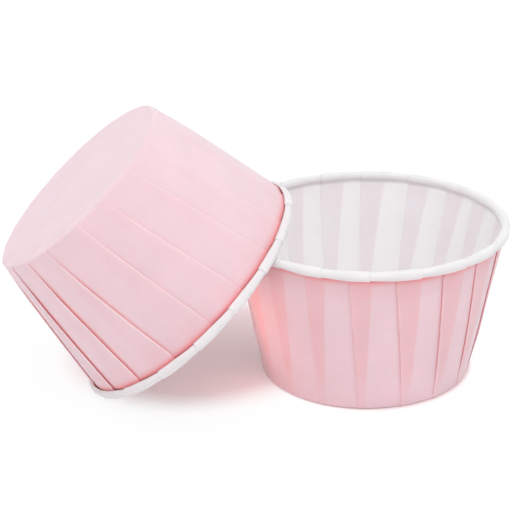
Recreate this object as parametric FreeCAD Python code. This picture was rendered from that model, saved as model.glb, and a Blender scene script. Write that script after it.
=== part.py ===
import FreeCAD, Part
import math
import os

# Two pleated paper baking cups with rolled rims. One stands on its base, and the other lies tipped over
# against it, with its rim on the table and its mouth resting over the first cup's rim.
# Frame: millimetres, +Z up, origin at the centre of the standing cup's base, on the table.
# The leaning cup lies towards -X.

# One cup
cup_height = 38.5            # table to the top of the rolled rim
rim_diameter = 68.0          # over the rolled rim
base_diameter = 51.4         # over the folds, just above the bottom corner
corner_radius = 0.9          # rounding where the base turns up into the wall
corner_flats = 2             # flats that make up this rounding
paper = 0.2                  # one layer of coated paper

# Knife pleats, each a fold of three layers, all lapped the same way round
pleat_count = 18
fold_layers = 3
fold_width_base = 1.1        # lap of a fold at the bottom corner
fold_width_rim = 5.4         # lap of a fold under the rim
fold_swing_deg = 7.5         # how far a fold's outer edge swings round between rim and base
fold_nose = 0.2              # width of the rise at a folded edge
flats_per_strip = 2          # flats that stand for the curve of a fold, and of the panel beside it
standing_turn_deg = 12.5     # where the first fold of the standing cup meets the rim, from +X
leaning_turn_deg = 0.5       # the same for the leaning cup

# Rolled rim: the wall's top rolled outwards, over and down
curl_diameter = 2.4          # across the roll
curl_start_deg = 210         # where the wall runs into the roll, seen along it: 180 is its inmost side
curl_end_deg = -90           # where the roll ends in the paper's cut edge, under it
curl_outer_flats = 10        # flats that stand for the roll's curve outside
curl_inner_flats = 6         # and inside, where the fold layers lie

# Pose of the leaning cup
lean_tilt_deg = 48.0         # how far its axis points below level
rim_clearance = 0.1          # left between the two rolled rims where they rest on each other

# Worked out from the sizes above
curl_radius = curl_diameter / 2
curl_ring_radius = rim_diameter / 2 - curl_radius
curl_height = cup_height - curl_radius
base_inner_radius = base_diameter / 2 - fold_layers * paper
pitch = 2 * math.pi / pleat_count
centre = FreeCAD.Vector(0, 0, 0)
cup_axis = FreeCAD.Vector(0, 0, 1)


def pleated_ring(layer, radius, z, rise, radial=1, axial=0):
    """Corners of one face of the pleated paper round the cup: layer is 0 for its inner face and 1 for its
    outer one. radius and z place the innermost layer, and radial and axial point from it through the others.
    rise goes from 0 at the base to 1 at the rim. Each pleat is a fold of three layers, then a panel of one
    layer that starts as the fold's top layer and dips to run on under the next fold."""
    low = layer * paper
    high = low + (fold_layers - 1) * paper
    over_fold = high if layer else low
    nose = fold_nose / radius
    base_lap = fold_width_base / (base_diameter / 2)
    rim_lap = fold_width_rim / curl_ring_radius
    lap = base_lap + (rim_lap - base_lap) * rise
    corners = []
    for number in range(pleat_count):
        fold_start = number * pitch + math.radians(fold_swing_deg) * (1 - rise)
        fold_end = fold_start + lap
        panel_end = fold_start + pitch - nose
        profile = [(fold_start + (lap - nose) * flat / flats_per_strip, over_fold)
                   for flat in range(flats_per_strip + 1)]
        profile += [(fold_end + (panel_end - fold_end) * flat / flats_per_strip,
                     high + (low - high) * flat / flats_per_strip) for flat in range(flats_per_strip + 1)]
        for angle, depth in profile:
            out = radius + radial * depth
            corners.append(FreeCAD.Vector(out * math.cos(angle), out * math.sin(angle), z + axial * depth))
    return corners


def paper_face(layer):
    """Rings of one face of the paper: from the base, round the bottom corner, up the wall and round the
    rolled rim to the cut edge."""
    floor = paper * (1 - layer)
    bend_radius = corner_radius - floor
    rings = []
    for flat in range(corner_flats + 1):
        bend = math.pi / 2 * flat / corner_flats
        inset = bend_radius * (1 - math.sin(bend))
        rings.append(pleated_ring(layer, base_inner_radius - inset,
                                  floor + bend_radius * (1 - math.cos(bend)), 0))
    curl_flats = curl_inner_flats if layer else curl_outer_flats
    for flat in range(curl_flats + 1):
        angle = math.radians(curl_start_deg + (curl_end_deg - curl_start_deg) * flat / curl_flats)
        rings.append(pleated_ring(layer, curl_ring_radius + curl_radius * math.cos(angle),
                                  curl_height + curl_radius * math.sin(angle), 1,
                                  -math.cos(angle), -math.sin(angle)))
    return rings


def flat_face(*corners):
    """Flat face through its corners."""
    return Part.Face(Part.makePolygon([*corners, corners[0]]))


def paper_band(lower, upper):
    """Faces between two rings: one flat for each strip that is flat, and two that meet in a crease along
    the shorter diagonal for each strip that twists."""
    flatness = 1e-7
    faces = []
    for index in range(len(lower)):
        after = (index + 1) % len(lower)
        a, b, c, d = lower[index], lower[after], upper[after], upper[index]
        normal = (b - a).cross(d - a)
        if abs(normal.normalize().dot(c - a)) < flatness:
            faces.append(flat_face(a, b, c, d))
        elif a.distanceToPoint(c) < b.distanceToPoint(d):
            faces += [flat_face(a, b, c), flat_face(a, c, d)]
        else:
            faces += [flat_face(a, b, d), flat_face(b, c, d)]
    return faces


def baking_cup():
    """One cup as a closed solid: base, pleated wall and rolled rim. It stands on its base at the origin, with
    a fold that meets the rim on +X."""
    inner_rings = paper_face(0)
    outer_rings = paper_face(1)
    faces = [flat_face(*inner_rings[0]), flat_face(*outer_rings[0])]
    for rings in (inner_rings, outer_rings, (inner_rings[-1], outer_rings[-1])):
        for lower, upper in zip(rings, rings[1:]):
            faces += paper_band(lower, upper)
    shell = Part.makeShell(faces)
    shell.sewShape()
    solid = Part.makeSolid(shell)
    if solid.Volume < 0:
        solid.reverse()
    return solid


def rim_is_clear(distance):
    """True if the leaning cup's rolled rim touches neither the roll nor the wall of the standing cup, with the
    centre of the leaning rim at -distance."""
    tilt = math.radians(lean_tilt_deg)
    centre_height = curl_radius + curl_ring_radius * math.cos(tilt)
    points = 360
    for point in range(points + 1):
        angle = math.pi * point / points
        x = -distance + curl_ring_radius * math.cos(angle) * math.sin(tilt)
        y = curl_ring_radius * math.sin(angle)
        z = centre_height + curl_ring_radius * math.cos(angle) * math.cos(tilt)
        out = math.hypot(x, y)
        wall_out = base_diameter / 2 + (curl_ring_radius - base_diameter / 2) * z / curl_height
        if math.hypot(out - curl_ring_radius, z - curl_height) < curl_diameter + rim_clearance:
            return False
        if z < curl_height and abs(out - wall_out) < curl_radius + rim_clearance:
            return False
    return True


def lean_distance():
    """Level distance from the standing cup's axis to the leaning rim's centre where the cups meet, found by
    sliding the leaning rim inwards in ever smaller slides."""
    distance = rim_diameter
    slide = 1.0
    while slide > rim_clearance / 100:
        if rim_is_clear(distance - slide):
            distance -= slide
        else:
            slide /= 2
    return distance


def standing_cup(cup):
    """The first cup, turned so that its folds lie as they stand."""
    cup.rotate(centre, cup_axis, standing_turn_deg)
    return cup


def leaning_cup(cup):
    """The second cup, tipped over on to its rim and slid up against the first."""
    cup.rotate(centre, cup_axis, leaning_turn_deg)
    cup.rotate(FreeCAD.Vector(0, 0, curl_height), FreeCAD.Vector(0, 1, 0), 90 + lean_tilt_deg)
    lowest = min(corner.Z for corner in cup.Vertexes)
    cup.translate(FreeCAD.Vector(-lean_distance(), 0, -lowest))
    return cup


one_cup = baking_cup()
parts = {
    "upright_liner": standing_cup(one_cup.copy()),
    "leaning_liner": leaning_cup(one_cup.copy()),
}
os.makedirs("parts", exist_ok=True)
for name, solid in parts.items():
    print(name, solid.ShapeType, "valid," if solid.isValid() else "NOT VALID,", round(solid.Volume), "mm3")
    solid.exportStep(f"parts/{name}.step")
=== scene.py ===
import math
import random
from collections import namedtuple

import bpy
from mathutils import Matrix, Vector, noise


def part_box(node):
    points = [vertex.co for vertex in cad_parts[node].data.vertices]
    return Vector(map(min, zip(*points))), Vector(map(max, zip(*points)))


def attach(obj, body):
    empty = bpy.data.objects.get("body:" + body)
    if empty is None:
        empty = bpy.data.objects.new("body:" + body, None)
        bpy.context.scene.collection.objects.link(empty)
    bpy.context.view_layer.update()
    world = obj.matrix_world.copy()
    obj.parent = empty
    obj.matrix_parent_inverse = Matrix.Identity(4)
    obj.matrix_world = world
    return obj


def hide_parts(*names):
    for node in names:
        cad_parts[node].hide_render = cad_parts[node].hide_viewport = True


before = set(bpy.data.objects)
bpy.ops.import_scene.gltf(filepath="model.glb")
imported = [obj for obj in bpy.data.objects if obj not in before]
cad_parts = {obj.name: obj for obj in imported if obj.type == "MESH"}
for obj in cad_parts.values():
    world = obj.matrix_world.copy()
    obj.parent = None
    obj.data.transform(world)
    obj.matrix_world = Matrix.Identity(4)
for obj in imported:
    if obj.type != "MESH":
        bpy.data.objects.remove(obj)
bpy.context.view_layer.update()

uprightLow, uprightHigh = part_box("upright_liner")
leaningLow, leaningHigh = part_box("leaning_liner")
mm = 0.001
print("frame loaded")


# Camera: where the picture is taken from
shot = {
    "aim": Vector((-26.8, 2.7, 28.65)) * mm,  # what lies in the middle of the picture
    "swing": 5.7,  # degrees, from looking along +Y towards +X
    "dip": 23.18,  # degrees below level
    "roll": -1.04,  # degrees
    "distance": 352.3 * mm,
    "lens": 101.1,
    "sensor": 36,
    "nearest": 0.01,  # nothing closer to the camera than this is drawn
}


def makeCamera():
    swing, dip, roll = (math.radians(shot[name]) for name in ("swing", "dip", "roll"))
    ahead = Vector((math.sin(swing) * math.cos(dip), math.cos(swing) * math.cos(dip), -math.sin(dip)))
    level = Vector((math.cos(swing), -math.sin(swing), 0))
    upright = level.cross(ahead)
    right = level * math.cos(roll) + upright * math.sin(roll)
    up = upright * math.cos(roll) - level * math.sin(roll)
    lens = bpy.data.cameras.new("camera")
    lens.lens = shot["lens"]
    lens.sensor_width = shot["sensor"]
    lens.clip_start = shot["nearest"]
    camera = bpy.data.objects.new("camera", lens)
    camera.matrix_world = Matrix((right, up, -ahead)).transposed().to_4x4()
    camera.location = shot["aim"] - ahead * shot["distance"]
    bpy.context.scene.collection.objects.link(camera)
    bpy.context.scene.camera = camera


makeCamera()
print("camera placed")


# Studio: white floor that keeps the shadow, two softboxes, a small pink lamp and a pale surround
studio = {
    "skyStrength": 0.75,
    "skyTint": (1.0, 1.0, 1.0, 1),
    # softboxes as (place, size, power): overhead, and low in front on the left
    "boxes": ((Vector((0.02, -0.22, 0.78)), 0.6, 2.25), (Vector((-0.4, -0.7, 0.14)), 0.4, 0.3)),
    # pink light that the thin paper lets through: a lamp inside the leaning cup that shines out of its mouth
    "glowPlace": Vector((-60, -7, 26)) * mm,
    "glowAim": Vector((-26, -15, 18)) * mm,
    "glowSize": 10 * mm,
    "glowCone": 60,  # degrees
    "glowBlend": 0.8,  # share of the cone over which its light fades out
    "glowPower": 0.039,
    "glowLight": (1, 0.47, 0.4),
    "floorSize": 6.0,
    "floorTint": (0.97, 0.95, 0.95, 1),
    "glowTint": (0.97, 0.79, 0.80, 1),  # painted pink light from the paper on the floor between the cups
    "contactShade": (0.84, 0.70, 0.71, 1),  # painted pink shade on the floor round the standing cup's foot
    "floorLift": 0.18,  # added to the floor where the camera sees it
    "shadowPlace": Vector((-42, 13, 0)) * mm,  # middle of the shadow between the cups
    "shadowSize": Vector((34, 33, 30)) * mm,
    "shadowFade": (0.72, 1.12),  # where that shadow fades out, in shares of its size
    "shadowLeft": 0.08,  # share of the shadow that the floor keeps further out
    "contact": (25.5 * mm, 26.7 * mm),  # from the standing cup's axis, where the shadow at its foot fades out
}


def addMath(nodes, links, operation, first, second, third=None):
    node = nodes.new("ShaderNodeMath")
    node.operation = operation
    for socket, value in zip(node.inputs, (first, second, third)):
        if isinstance(value, (int, float)):
            socket.default_value = value
        elif value is not None:
            links.new(value, socket)
    return node.outputs[0]


def addVectorMath(nodes, links, operation, first, second=None):
    node = nodes.new("ShaderNodeVectorMath")
    node.operation = operation
    links.new(first, node.inputs[0])
    if second is not None:
        node.inputs[1].default_value = second
    return node


def addFade(nodes, links, value, start, end, most=1):
    fade = nodes.new("ShaderNodeMapRange")
    fade.interpolation_type = "SMOOTHSTEP"
    fade.inputs["From Min"].default_value = start
    fade.inputs["From Max"].default_value = end
    fade.inputs["To Max"].default_value = most
    links.new(value, fade.inputs["Value"])
    return fade.outputs[0]


def addColourMix(nodes, links, mask, first, second):
    mix = nodes.new("ShaderNodeMix")
    mix.data_type = "RGBA"
    links.new(mask, mix.inputs["Factor"])
    for socket, value in ((mix.inputs[6], first), (mix.inputs[7], second)):
        if isinstance(value, tuple):
            socket.default_value = value
        else:
            links.new(value, socket)
    return mix.outputs[2]


def addSeen(nodes, links):
    # 1 for what the camera sees, straight or by way of metal or glass, and 0 for the light on other things
    path = nodes.new("ShaderNodeLightPath")
    seen = addMath(nodes, links, "MAXIMUM", path.outputs["Is Camera Ray"], path.outputs["Is Glossy Ray"])
    return addMath(nodes, links, "MAXIMUM", seen, path.outputs["Is Transmission Ray"])


def makeSky():
    world = bpy.data.worlds.new("studioSky")
    world.use_nodes = True
    bpy.context.scene.world = world
    nodes, links = world.node_tree.nodes, world.node_tree.links
    nodes.clear()
    light = nodes.new("ShaderNodeBackground")
    light.inputs["Color"].default_value = studio["skyTint"]
    light.inputs["Strength"].default_value = studio["skyStrength"]
    white = nodes.new("ShaderNodeBackground")
    white.inputs["Color"].default_value = (1, 1, 1, 1)
    mix = nodes.new("ShaderNodeMixShader")
    out = nodes.new("ShaderNodeOutputWorld")
    links.new(addSeen(nodes, links), mix.inputs[0])
    links.new(light.outputs[0], mix.inputs[1])
    links.new(white.outputs[0], mix.inputs[2])
    links.new(mix.outputs[0], out.inputs["Surface"])


def addLamp(name, kind, power, place, aim):
    light = bpy.data.lights.new(name, kind)
    light.energy = power
    lamp = bpy.data.objects.new(name, light)
    lamp.location = place
    lamp.rotation_euler = (aim - place).to_track_quat("-Z", "Y").to_euler()
    bpy.context.scene.collection.objects.link(lamp)
    return light


def makeLamps():
    for place, size, power in studio["boxes"]:
        box = addLamp("softbox", "AREA", power, place, Vector((0, 0, 0)))
        box.shape = "SQUARE"
        box.size = size
    glow = addLamp("glowLamp", "SPOT", studio["glowPower"], studio["glowPlace"], studio["glowAim"])
    glow.color = studio["glowLight"]
    glow.spot_size = math.radians(studio["glowCone"])
    glow.spot_blend = studio["glowBlend"]
    glow.shadow_soft_size = studio["glowSize"]


def makeFloor():
    half = studio["floorSize"] / 2
    mesh = bpy.data.meshes.new("floor")
    corners = [(-half, -half, 0), (half, -half, 0), (half, half, 0), (-half, half, 0)]
    mesh.from_pydata(corners, [], [(0, 1, 2, 3)])
    floor = bpy.data.objects.new("floor", mesh)
    floor.location.z = min(uprightLow.z, leaningLow.z)
    bpy.context.scene.collection.objects.link(floor)
    material = bpy.data.materials.new("floorPaint")
    material.use_nodes = True
    nodes, links = material.node_tree.nodes, material.node_tree.links
    nodes.clear()
    # masks that are 0 in the shadow between the cups and at the standing cup's foot, and rise outside them
    place = nodes.new("ShaderNodeNewGeometry").outputs["Position"]
    offset = addVectorMath(nodes, links, "SUBTRACT", place, studio["shadowPlace"])
    scaled = addVectorMath(nodes, links, "DIVIDE", offset.outputs[0], studio["shadowSize"])
    reach = addVectorMath(nodes, links, "LENGTH", scaled.outputs[0])
    far = addFade(nodes, links, reach.outputs["Value"], *studio["shadowFade"], 1 - studio["shadowLeft"])
    axis = addVectorMath(nodes, links, "LENGTH", place)
    clear = addFade(nodes, links, axis.outputs["Value"], *studio["contact"])
    white = addMath(nodes, links, "MULTIPLY", far, clear)
    paint = nodes.new("ShaderNodeBsdfDiffuse")
    # painted pink light in the shadow between the cups, and painted shade round the standing cup's foot
    tint = addColourMix(nodes, links, far, studio["glowTint"], studio["floorTint"])
    tint = addColourMix(nodes, links, clear, studio["contactShade"], tint)
    links.new(tint, paint.inputs["Color"])
    seen = addSeen(nodes, links)
    lift = nodes.new("ShaderNodeEmission")
    links.new(addMath(nodes, links, "MULTIPLY", seen, studio["floorLift"]), lift.inputs["Strength"])
    near = nodes.new("ShaderNodeAddShader")
    links.new(paint.outputs[0], near.inputs[0])
    links.new(lift.outputs[0], near.inputs[1])
    plain = nodes.new("ShaderNodeEmission")  # white, at its own strength of 1
    mix = nodes.new("ShaderNodeMixShader")
    links.new(addMath(nodes, links, "MULTIPLY", white, seen), mix.inputs[0])
    links.new(near.outputs[0], mix.inputs[1])
    links.new(plain.outputs[0], mix.inputs[2])
    out = nodes.new("ShaderNodeOutputMaterial")
    links.new(mix.outputs[0], out.inputs["Surface"])
    mesh.materials.append(material)


makeSky()
makeLamps()
makeFloor()
view = bpy.context.scene.view_settings
view.view_transform = "Standard"
print("studio lit")


# Paper: one coated sheet, pink outside and white inside
pinkFace = {
    "colour": (0.87, 0.667, 0.718, 1),
    "foldShadeColour": (0.87, 0.54, 0.578, 1),  # painted shade of the layered folds: three layers let less light through the paper than one
    "edgeLightColour": (0.94, 0.77, 0.80, 1),  # painted highlight along the folded edges
    "tuckShadeColour": (0.88, 0.27, 0.28, 1),  # painted shade and pink bounce light down in a fold or under the roll, where pink shines on pink
    "rollShadeColour": (0.87, 0.667, 0.718, 1),
    "mottle": 0.035,  # how much its lightness varies
    "roughness": 0.62,
    "gloss": 0.3,
    "sheen": 0.2,  # pale bloom of the paper's fibres, seen at a slant
    "lightDepth": 0.08 * mm,  # how far light spreads inside the paper
    "lightReach": (1, 0.8, 0.8),  # red light goes furthest
    "grainDepth": 0.02 * mm,
}
whiteFace = {
    "colour": (0.975, 0.957, 0.975, 1),
    # painted pink of the layered folds, where the pink paper's light shows through
    "foldShadeColour": (1.0, 0.845, 0.86, 1),
    # painted shade on the folded edges inside the cup
    "edgeLightColour": (0.95, 0.94, 0.95, 1),
    # painted shade down in the folds and under the roll inside the cup
    "tuckShadeColour": (0.80, 0.71, 0.74, 1),
    # painted shade on the roll, which keeps its top from looking brighter than the cup's inside
    "rollShadeColour": (0.85, 0.84, 0.855, 1),
    "mottle": 0.02,
    "roughness": 0.42,
    "gloss": 0.3,
    "sheen": 0.0,
    "lightDepth": 0.3 * mm,
    "lightReach": (1, 0.97, 0.97),
    "grainDepth": 0.012 * mm,
}
grain = {
    "size": {"Fibre": 0.35 * mm, "Cloud": 9 * mm, "Crinkle": 4 * mm},
    "detail": {"Fibre": 5, "Cloud": 3, "Crinkle": 2},  # how many finer steps each noise has
    "fibreShare": 0.3,  # of the mottle, and the clouds give the rest
    "crinkleHeight": 2.0,  # against the fibres' height
    "span": (0.3, 0.7),  # noise that gives the darkest and the lightest paper
    "roughSpread": 0.05,
    "strength": 0.6,  # how strongly the grain shows
}
# what the mesh marks, and the colour that each mark brings out, from the first laid on to the last; each
# paints light or shade
paperMarks = {"folded": "foldShadeColour", "rolled": "rollShadeColour", "edgeLight": "edgeLightColour", "tuckShade": "tuckShadeColour"}


def makePaperGrain():
    group = bpy.data.node_groups.new("paperGrain", "ShaderNodeTree")
    for layer in grain["size"]:
        group.interface.new_socket(layer + " Scale", in_out="INPUT", socket_type="NodeSocketFloat")
    for result in ("Mottle", "Height"):
        group.interface.new_socket(result, in_out="OUTPUT", socket_type="NodeSocketFloat")
    nodes, links = group.nodes, group.links
    given = nodes.new("NodeGroupInput")
    out = nodes.new("NodeGroupOutput")
    where = nodes.new("ShaderNodeTexCoord").outputs["Object"]
    layers = {}
    for layer, detail in grain["detail"].items():
        texture = nodes.new("ShaderNodeTexNoise")
        texture.inputs["Detail"].default_value = detail
        links.new(where, texture.inputs["Vector"])
        links.new(given.outputs[layer + " Scale"], texture.inputs["Scale"])
        layers[layer] = texture.outputs["Fac"]
    cloud = addMath(nodes, links, "MULTIPLY", layers["Cloud"], 1 - grain["fibreShare"])
    mottle = addMath(nodes, links, "MULTIPLY_ADD", layers["Fibre"], grain["fibreShare"], cloud)
    height = addMath(nodes, links, "MULTIPLY_ADD", layers["Crinkle"], grain["crinkleHeight"], layers["Fibre"])
    links.new(mottle, out.inputs["Mottle"])
    links.new(height, out.inputs["Height"])
    return group


def makePaper(name, face, group):
    material = bpy.data.materials.new(name)
    material.use_nodes = True
    nodes, links = material.node_tree.nodes, material.node_tree.links
    shader = nodes["Principled BSDF"]
    fibres = nodes.new("ShaderNodeGroup")
    fibres.node_tree = group
    for layer, size in grain["size"].items():
        fibres.inputs[layer + " Scale"].default_value = 1 / size
    colour = face["colour"]
    for mark, tint in paperMarks.items():
        marked = nodes.new("ShaderNodeAttribute")
        marked.attribute_name = mark
        colour = addColourMix(nodes, links, marked.outputs["Fac"], colour, face[tint])
    shade = nodes.new("ShaderNodeMapRange")
    shade.inputs["From Min"].default_value, shade.inputs["From Max"].default_value = grain["span"]
    shade.inputs["To Min"].default_value = 1 - face["mottle"]
    shade.inputs["To Max"].default_value = 1 + face["mottle"]
    links.new(fibres.outputs["Mottle"], shade.inputs["Value"])
    tinted = nodes.new("ShaderNodeVectorMath")
    tinted.operation = "SCALE"
    links.new(colour, tinted.inputs[0])
    links.new(shade.outputs[0], tinted.inputs["Scale"])
    links.new(tinted.outputs[0], shader.inputs["Base Color"])
    rough = nodes.new("ShaderNodeMapRange")
    rough.inputs["To Min"].default_value = face["roughness"] - grain["roughSpread"]
    rough.inputs["To Max"].default_value = face["roughness"] + grain["roughSpread"]
    links.new(fibres.outputs["Mottle"], rough.inputs["Value"])
    links.new(rough.outputs[0], shader.inputs["Roughness"])
    shader.inputs["Specular IOR Level"].default_value = face["gloss"]
    shader.inputs["Sheen Weight"].default_value = face["sheen"]
    shader.inputs["Subsurface Weight"].default_value = 1
    shader.inputs["Subsurface Radius"].default_value = face["lightReach"]
    shader.inputs["Subsurface Scale"].default_value = face["lightDepth"]
    bump = nodes.new("ShaderNodeBump")
    bump.inputs["Strength"].default_value = grain["strength"]
    bump.inputs["Distance"].default_value = face["grainDepth"]
    links.new(fibres.outputs["Height"], bump.inputs["Height"])
    links.new(bump.outputs[0], shader.inputs["Normal"])
    return material


paperGrain = makePaperGrain()
pinkPaper = makePaper("pinkPaper", pinkFace, paperGrain)
whitePaper = makePaper("whitePaper", whiteFace, paperGrain)
print("paper mixed")


# One cup, standing on its base at the origin
cup = {
    "height": uprightHigh.z,
    "rimRadius": max(uprightHigh.x, uprightHigh.y),
    "baseRadius": 25.1 * mm,  # inner face, where the wall starts
    "cornerRadius": 0.35 * mm,  # inner face of the bottom corner
    "rollRadius": 1.2 * mm,
    "rollStart": 240,  # degrees round the roll where the wall runs into it: 180 is its inmost side
    "rollEnd": -90,  # and where the paper ends in its cut edge
    "flareHeight": 2.0 * mm,  # the wall's last stretch, which bends out to meet the roll
    "flareOut": 0.4 * mm,
    "edge": 0.25 * mm,  # from the bottom corner to the rings that keep it crisp
    "baseRings": 6,
    "cornerRings": 5,
    "wallRings": 20,
    "flareRings": 3,
    "rollRings": 22,
    "ringStart": 0.3,  # how far in the first ring of the base and of the roll lies, in rings
    # how much of the folds' steps there is: none on the base up to baseSmooth, a share of its radius, then
    # up to edgeSteps at its edge, footSteps above the corner, all of them from fullSteps up, a share of the
    # wall's height, and rollSteps on the roll
    "baseSmooth": 0.7,
    "edgeSteps": 0.12,
    "footSteps": 0.3,
    "fullSteps": 0.35,
    "rollSteps": 0.8,
    "rollShadeFrom": 0.85,  # share of the wall's height from which painted shade and pink bounce light build up towards the roll
    "rollShadeShare": 0.08,  # how strong that painted shade is near the roll, where 1 is what lies under it
    "creaseRing": 2,  # which of the roll's rings carries a painted dark line, where the wall bends into the roll inside the cup
    "underReflection": 0.6,  # painted shade and pink reflection on the roll's underside, beside the pink wall
}
fold = {
    "count": 18,
    "layer": 0.2 * mm,  # thickness of the paper
    "layers": 3,
    "lapBase": 1.1 * mm,
    "lapRim": 5.4 * mm,
    "swing": 7.5,  # degrees that the folded edge swings round between rim and base
    "tuck": 0.6 * mm,  # how far the crevice under a folded edge goes in
    "innerTuck": 0.02 * mm,  # the same inside the cup, where the layers are pressed flat
    "rollTuck": 0.35 * mm,  # and on the roll
    "tuckMost": 0.3,  # share of a fold's width that its crevice may take
    "innerPress": 0.35,  # how much of the folds' steps is left inside the cup
    "rollPress": 0.7,  # and where that face goes over the roll
    "innerDark": 0.25,  # how strong the painted shade in its crevices is inside the cup
    "rollDark": 0.65,  # and on the roll
    "overhang": (0.15, 0.5),  # shares of the folds' steps where their edges start to stand over, and fully do
    "innerOverhang": 0.3,  # how much of that there is inside the cup
    "loose": 0.1 * mm,  # how much the layers stand off at a folded edge
    "belly": 0.12 * mm,  # how far a panel bulges out between two folds
    "panelCurve": 1.8,  # how soon a panel dips from the fold's top, where 1 is evenly
    "edgeAlong": (-0.90, -0.6, -0.4, -0.3, -0.2, -0.1, 0.0, 0.1, 0.2, 0.35),  # mm, an edge's points laid flat
    "lapPoints": 3,  # points across a fold
    "panelPoints": 6,  # points across a panel
}
wander = {
    "wall": 0.16 * mm,  # height of the small waves in the wall
    "size": 14 * mm,  # and how far apart they are
    "rim": 0.22 * mm,  # how far the rim strays inwards from its circle
    "rimWaves": 1.5,  # how closely those bends follow each other
    "rimPower": 3,  # how late they start on the way up, where 1 is evenly
    "drift": 1.2,  # degrees that a fold that isn't seen may be off its even place
    "lap": 0.12,  # share that a fold may be wider or narrower
}

# a ring's place, the direction through the paper there, how far up the wall it is, how much of the folds'
# steps it has, how near the roll it is (0.5 where the flare starts, 1 on the roll), and its painted shade
# inside the cup
Station = namedtuple("Station", "out up faceOut faceUp rise layered shade crease", defaults=(0,))
Fold = namedtuple("Fold", "rimAngle baseAngle lapScale gape")


def ease(value):
    value = min(max(value, 0), 1)
    return value * value * (3 - 2 * value)


def between(start, end, share):
    return start + (end - start) * share


def spaced(start, end, count):
    return [between(start, end, step / (count + 1)) for step in range(1, count + 1)]


def rollShare(station):
    # 0 up to where the wall flares out, 1 on the roll
    return max(station.shade * 2 - 1, 0)


def paperLine():
    # the paper's inner face from the middle of the base to the cut edge, with the direction through the paper
    layer, corner = fold["layer"], cup["cornerRadius"]
    spare = (fold["layers"] - 1) * layer
    roll = cup["rollRadius"]
    rollOut, rollUp = cup["rimRadius"] - roll, cup["height"] - roll
    start = math.radians(cup["rollStart"])
    endOut, endUp = rollOut + roll * math.cos(start), rollUp + roll * math.sin(start)
    topOut, topUp = endOut - cup["flareOut"], endUp - cup["flareHeight"]
    lean = math.atan2(topOut - cup["baseRadius"], topUp - layer - corner)
    flat = cup["baseRadius"] - corner
    stations = []
    for ring in range(cup["baseRings"] + 1):
        share = (ring + cup["ringStart"]) / cup["baseRings"]
        if ring == cup["baseRings"]:
            share = 1 - cup["edge"] / flat
        layered = cup["edgeSteps"] * ease((share - cup["baseSmooth"]) / (1 - cup["baseSmooth"]))
        stations.append(Station(flat * share, layer + spare * layered, 0, -1, 0, layered, 0))
    turn = math.pi / 2 - lean
    for ring in range(cup["cornerRings"]):
        share = ring / (cup["cornerRings"] - 1)
        bend = turn * share
        layered = between(cup["edgeSteps"], cup["footSteps"], ease(share))
        out = flat + corner * math.sin(bend)
        up = layer + corner * (1 - math.cos(bend)) + spare * layered * math.cos(bend)
        stations.append(Station(out, up, math.sin(bend), -math.cos(bend), 0, layered, 0))
    footOut, footUp = stations[-1].out, stations[-1].up
    for ring in range(cup["wallRings"] + 1):
        share = ring / cup["wallRings"] if ring else cup["edge"] / (topUp - footUp)
        layered = between(cup["footSteps"], 1, ease(share / cup["fullSteps"]))
        shade = 0.5 * ease((share - cup["rollShadeFrom"]) / (1 - cup["rollShadeFrom"]))
        stations.append(Station(between(footOut, topOut, share), between(footUp, topUp, share),
                                math.cos(lean), -math.sin(lean), share, layered, shade))
    flareTurn = math.atan2(cup["flareOut"], cup["flareHeight"] / 2)
    for ring in range(1, cup["flareRings"] + 1):
        share = ring / cup["flareRings"]
        bend = between(lean, flareTurn, share)
        layered = between(1, cup["rollSteps"], share)
        stations.append(Station(between(topOut, endOut, share * share), between(topUp, endUp, share),
                                math.cos(bend), -math.sin(bend), 1, layered, between(0.5, 1, share)))
    for ring in range(cup["rollRings"] + 1):
        share = (ring + cup["ringStart"]) / (cup["rollRings"] + cup["ringStart"])
        angle = between(start, math.radians(cup["rollEnd"]), share)
        across, along = math.cos(angle), math.sin(angle)
        # a painted dark line at the bend into the roll, and painted shade with pink reflection on the roll's
        # underside
        crease = 1 if ring == cup["creaseRing"] else cup["underReflection"] * max(-along * ease(across), 0)
        stations.append(Station(rollOut + roll * across, rollUp + roll * along, -across, -along, 1,
                                cup["rollSteps"], 1, crease))
    return stations


def makeFolds(look):
    # where each fold's outer edge meets rim and base: seen ones as told, and the others by chance
    dice = random.Random(look["seed"])
    folds = []
    for number in range(fold["count"]):
        angle = number * 360 / fold["count"]
        chance = [dice.uniform(-1, 1) * wander["drift"] for _ in range(2)]
        rimDrift, baseDrift = look["drift"].get(number, chance)
        lapScale = (1 + dice.uniform(-1, 1) * wander["lap"]) * look["lap"].get(number, 1)
        folds.append(Fold(math.radians(angle + rimDrift), math.radians(angle + fold["swing"] + baseDrift),
                          lapScale, look["gape"].get(number, 1)))
    first, circle = folds[0], 2 * math.pi
    folds.append(first._replace(rimAngle=first.rimAngle + circle, baseAngle=first.baseAngle + circle))
    return folds


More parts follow.
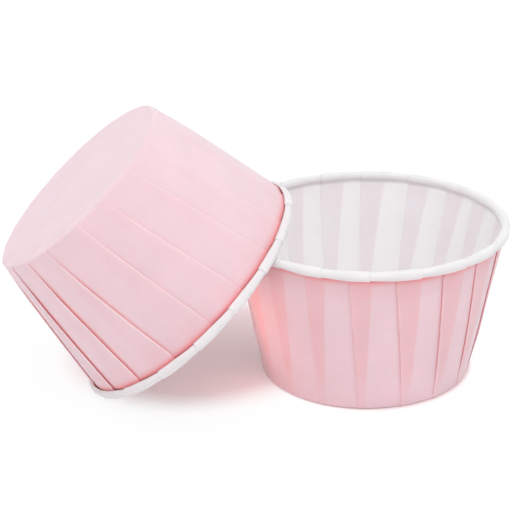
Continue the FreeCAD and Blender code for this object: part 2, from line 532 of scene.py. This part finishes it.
def foldedEdge(outside, lap, gape, rolled):
    # points at a folded edge as (along, depth, folded, edgeLight, tuckShade), the last two painted highlight
    # and shade:
    # the nose, with the crevice under it, where a depth of None is the panel's own
    layer, loose = fold["layer"], fold["loose"] * gape if outside else 0
    innerTuck = between(fold["innerTuck"], fold["rollTuck"], rolled)
    tuck = min(fold["tuck"] * min(gape, 1) if outside else innerTuck, fold["tuckMost"] * lap)
    low, high = layer, fold["layers"] * layer
    red, deep = min(gape, 1), min(max(gape - 1, 0), 1)
    nose = [
        (-0.90 * mm, None, 0, 0, 0.08 * deep),
        (-0.35 * mm, None, 0, 0, 0.1 * red + 0.35 * deep),
        (tuck, low, 0, 0, red),
        (tuck, low + 0.3 * layer, 1, 0, red),
        (-0.02 * mm, low + 0.4 * layer + loose, 1, 0, 0.9 * red),
        (-0.10 * mm, low + 0.8 * layer + loose, 1, 0.4, 0.3 * red),
        (-0.12 * mm, low + 1.3 * layer + loose, 1, 1, 0),
        (-0.06 * mm, low + 1.8 * layer + loose, 1, 1, 0),
        (0.08 * mm, high + loose, 1, 0.5, 0),
        (0.35 * mm, high + loose * 0.7, 1, 0.1, 0),
    ]
    if outside:
        return nose
    return [(-along, None if depth is None else high - depth, *marks)
            for along, depth, *marks in reversed(nose)]


def ringPoints(outside, station, folds):
    # one face's points round the cup: folded edge, fold, far edge of the fold and panel, for each pleat
    layer = fold["layer"]
    high = (fold["layers"] - 1) * layer
    foldDepth = high + layer if outside else 0
    radius = max(station.out, cup["baseRadius"])
    flatAlong = [along * mm for along in fold["edgeAlong"]]
    evenAlong = flatAlong if outside else [-along for along in reversed(flatAlong)]
    half = len(flatAlong) // 2
    lowest, fullest = fold["overhang"]
    overhang = min(max((station.layered - lowest) / (fullest - lowest), 0), 1)
    if not outside:
        overhang *= between(fold["innerOverhang"], 1, rollShare(station))
    points = []
    for here, after in zip(folds, folds[1:]):
        start = between(here.baseAngle, here.rimAngle, station.rise)
        pleat = (between(after.baseAngle, after.rimAngle, station.rise) - start) * radius
        lap = between(fold["lapBase"], fold["lapRim"], station.rise) * here.lapScale

        def panelDepth(along):
            share = min(max((along - lap) / (pleat - lap), 0), 1)
            belly = fold["belly"] * math.sin(math.pi * share) * station.rise
            return high * (1 - share) ** fold["panelCurve"] + belly + (layer if outside else 0)

        edge = foldedEdge(outside, lap, after.gape if outside else here.gape, rollShare(station))
        edge = [(between(even, along, overhang), depth, *marks)
                for even, (along, depth, *marks) in zip(evenAlong, edge)]
        if outside:
            begin = [(along, panelDepth(pleat + along) if depth is None else depth, *marks)
                     for along, depth, *marks in edge]
            finish = [(lap - along, panelDepth(lap - along), 1 - ease((index + 1 - half) / half), 0, 0)
                      for index, along in enumerate(reversed(flatAlong))]
        else:
            begin = [(along, panelDepth(pleat + along) if along < 0 else 0, ease(index / half), 0, 0)
                     for index, along in enumerate(flatAlong)]
            finish = [(lap + along, panelDepth(lap + along) if depth is None else depth, *marks)
                      for along, depth, *marks in edge]
        row = list(begin)
        row += [(along, foldDepth, 1, 0, 0)
                for along in spaced(begin[-1][0], finish[0][0], fold["lapPoints"])]
        row += finish
        row += [(along, panelDepth(along), 0, 0, 0)
                for along in spaced(finish[-1][0], pleat + begin[0][0], fold["panelPoints"])]
        points += [(start + along / radius, depth, *marks) for along, depth, *marks in row]
    return points


def bulgeOut(angle, bulge):
    if bulge is None:
        return 0
    away = math.remainder(angle - math.radians(bulge["angle"]), 2 * math.pi)
    return bulge["out"] * ease(1 - abs(away) / math.radians(bulge["width"]))


def addBand(faces, slots, lower, upper, outside, slot):
    for index in range(len(lower)):
        after = (index + 1) % len(lower)
        corners = (lower[index], lower[after], upper[after], upper[index])
        faces.append(corners if outside else corners[::-1])
        slots.append(slot)


def cupMesh(name, look):
    layer, seed = fold["layer"], look["seed"]
    folds = makeFolds(look)
    stations = paperLine()
    verts, faces, slots = [], [], []
    marks = {mark: [] for mark in paperMarks}
    rings = {True: [], False: []}
    for outside in (False, True):
        plain = layer if outside else 0
        for station in stations:
            ring = []
            near = ease(station.shade * 2)
            rolled = rollShare(station) ** 2
            dark = 1 if outside else between(fold["innerDark"], fold["rollDark"], rolled)
            press = 1 if outside else between(fold["innerPress"], fold["rollPress"], rolled)
            spread = (1 - station.rise) * min(station.out / cup["baseRadius"], 1)
            # painted shade and pink bounce light that build up towards and under the roll
            rollShade = cup["rollShadeShare"] * near + (1 - cup["rollShadeShare"]) * rolled
            for angle, depth, folded, edgeLight, tuckShade in ringPoints(outside, station, folds):
                depth = plain + (depth - plain) * station.layered * press
                where = Vector((math.cos(angle), math.sin(angle), 0)) * station.out
                where.z = station.up
                ripple = noise.noise(where / wander["size"] + Vector((seed, 0, 0)))
                bend = wander["wall"] * ripple * math.sin(math.pi * station.rise)
                rim = noise.noise(Vector((math.cos(angle), math.sin(angle), seed)) * wander["rimWaves"])
                rim = wander["rim"] * (rim - 1) / 2 * station.rise ** wander["rimPower"]
                out = station.out + station.faceOut * (depth + bend) + rim
                out += spread * bulgeOut(angle, look["bulge"])
                up = station.up + station.faceUp * (depth + bend)
                ring.append(len(verts))
                verts.append((out * math.cos(angle), out * math.sin(angle), up))
                # painted shade of the layered folds
                marks["folded"].append(folded * station.layered * look["foldShade"])
                marks["edgeLight"].append(edgeLight * station.layered * look["edgeLightShare"])
                # painted shade in crevices and under the roll
                paintedShade = rollShade if outside else station.crease
                marks["tuckShade"].append(max(tuckShade * station.layered * dark, paintedShade))
                marks["rolled"].append(rolled)
            rings[outside].append(ring)
    for outside in (False, True):
        middle, slot = len(verts), 0 if outside else 1
        verts.append((0, 0, 0 if outside else layer))
        for values in marks.values():
            values.append(0)
        first = rings[outside][0]
        for index, corner in enumerate(first):
            after = first[(index + 1) % len(first)]
            faces.append((middle, after, corner) if outside else (middle, corner, after))
            slots.append(slot)
        for lower, upper in zip(rings[outside], rings[outside][1:]):
            addBand(faces, slots, lower, upper, outside, slot)
    addBand(faces, slots, rings[False][-1], rings[True][-1], False, 1)
    mesh = bpy.data.meshes.new(name)
    mesh.from_pydata(verts, [], faces)
    mesh.materials.append(pinkPaper)
    mesh.materials.append(whitePaper)
    mesh.polygons.foreach_set("material_index", slots)
    mesh.polygons.foreach_set("use_smooth", [True] * len(faces))
    for mark, values in marks.items():
        mesh.attributes.new(mark, "FLOAT", "POINT").data.foreach_set("value", values)
    mesh.update()
    return mesh


def makeCup(name, node, look, low, high):
    mesh = cupMesh(name, look)
    tip = Matrix.Rotation(math.radians(look["tip"]), 4, "Y")
    mesh.transform(tip @ Matrix.Rotation(math.radians(look["turn"]), 4, "Z"))
    lowest = min(corner.co.z for corner in mesh.vertices)
    reach = max(corner.co.x for corner in mesh.vertices)
    mesh.transform(Matrix.Translation((high.x - reach, 0, low.z - lowest)))
    piece = bpy.data.objects.new(name, mesh)
    bpy.context.scene.collection.objects.link(piece)
    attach(piece, "root")
    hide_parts(node)
    print(name, "made with", len(mesh.polygons), "faces")


# Standing cup
standing = {
    "turn": 12.5,  # degrees from +X to the first fold at the rim
    "tip": 0,  # degrees that it is tipped over, from upright towards +X
    "seed": 3,
    "foldShade": 0.65,  # how strongly the painted shade of the layered folds shows, as stripes
    "edgeLightShare": 0.3,  # how strong the painted highlight on its folded edges is
    "bulge": {"angle": 195, "width": 75, "out": 1.1 * mm},  # where its base spreads, before its turn
    # fold number: how far its edge is off its even place at the rim and at the base, in degrees
    "drift": {0: (2.4, 1.0), 1: (-0.8, 0.5), 2: (-1.3, -0.5), 3: (0.6, 0.5), 4: (-0.3, 0), 5: (0, 0),
              9: (0, 0.5), 10: (2.2, -3.5), 11: (1.6, -4.5), 12: (0.2, -4.0), 13: (-1.1, -1.0),
              14: (-0.8, -1.2), 15: (-2.6, -0.5), 16: (-3.0, -1.5), 17: (-1.0, 0)},
    # fold number: how open its folded edge stands, where it isn't 1
    "gape": {10: 0.3, 11: 0.3, 12: 0.4, 13: 0.5, 14: 0.8, 15: 1.05, 17: 0.8},
    # fold number: how wide it is, where it isn't 1
    "lap": {10: 0.85, 11: 0.7, 12: 0.9},
}
makeCup("upright_cup", "upright_liner", standing, uprightLow, uprightHigh)

# Leaning cup
leaning = {
    "turn": 0.5,
    "tip": 138,  # so that its mouth points 48 degrees below level
    "seed": 8,
    "foldShade": 0.15,
    "edgeLightShare": 1.0,
    "bulge": None,  # its base is round
    "drift": {10: (3.5, 5.4), 11: (1.5, 3.3), 12: (1.2, 4.3), 13: (-0.5, 1.8), 14: (-0.2, 4.8),
              15: (0, 0.8), 16: (-1.3, -1.6)},
    "gape": {10: 0.3, 11: 0.4, 12: 0.5, 13: 0.5, 14: 0.5, 15: 1.3, 16: 2.0, 17: 2.0},
    "lap": {},
}
makeCup("leaning_cup", "leaning_liner", leaning, leaningLow, leaningHigh)
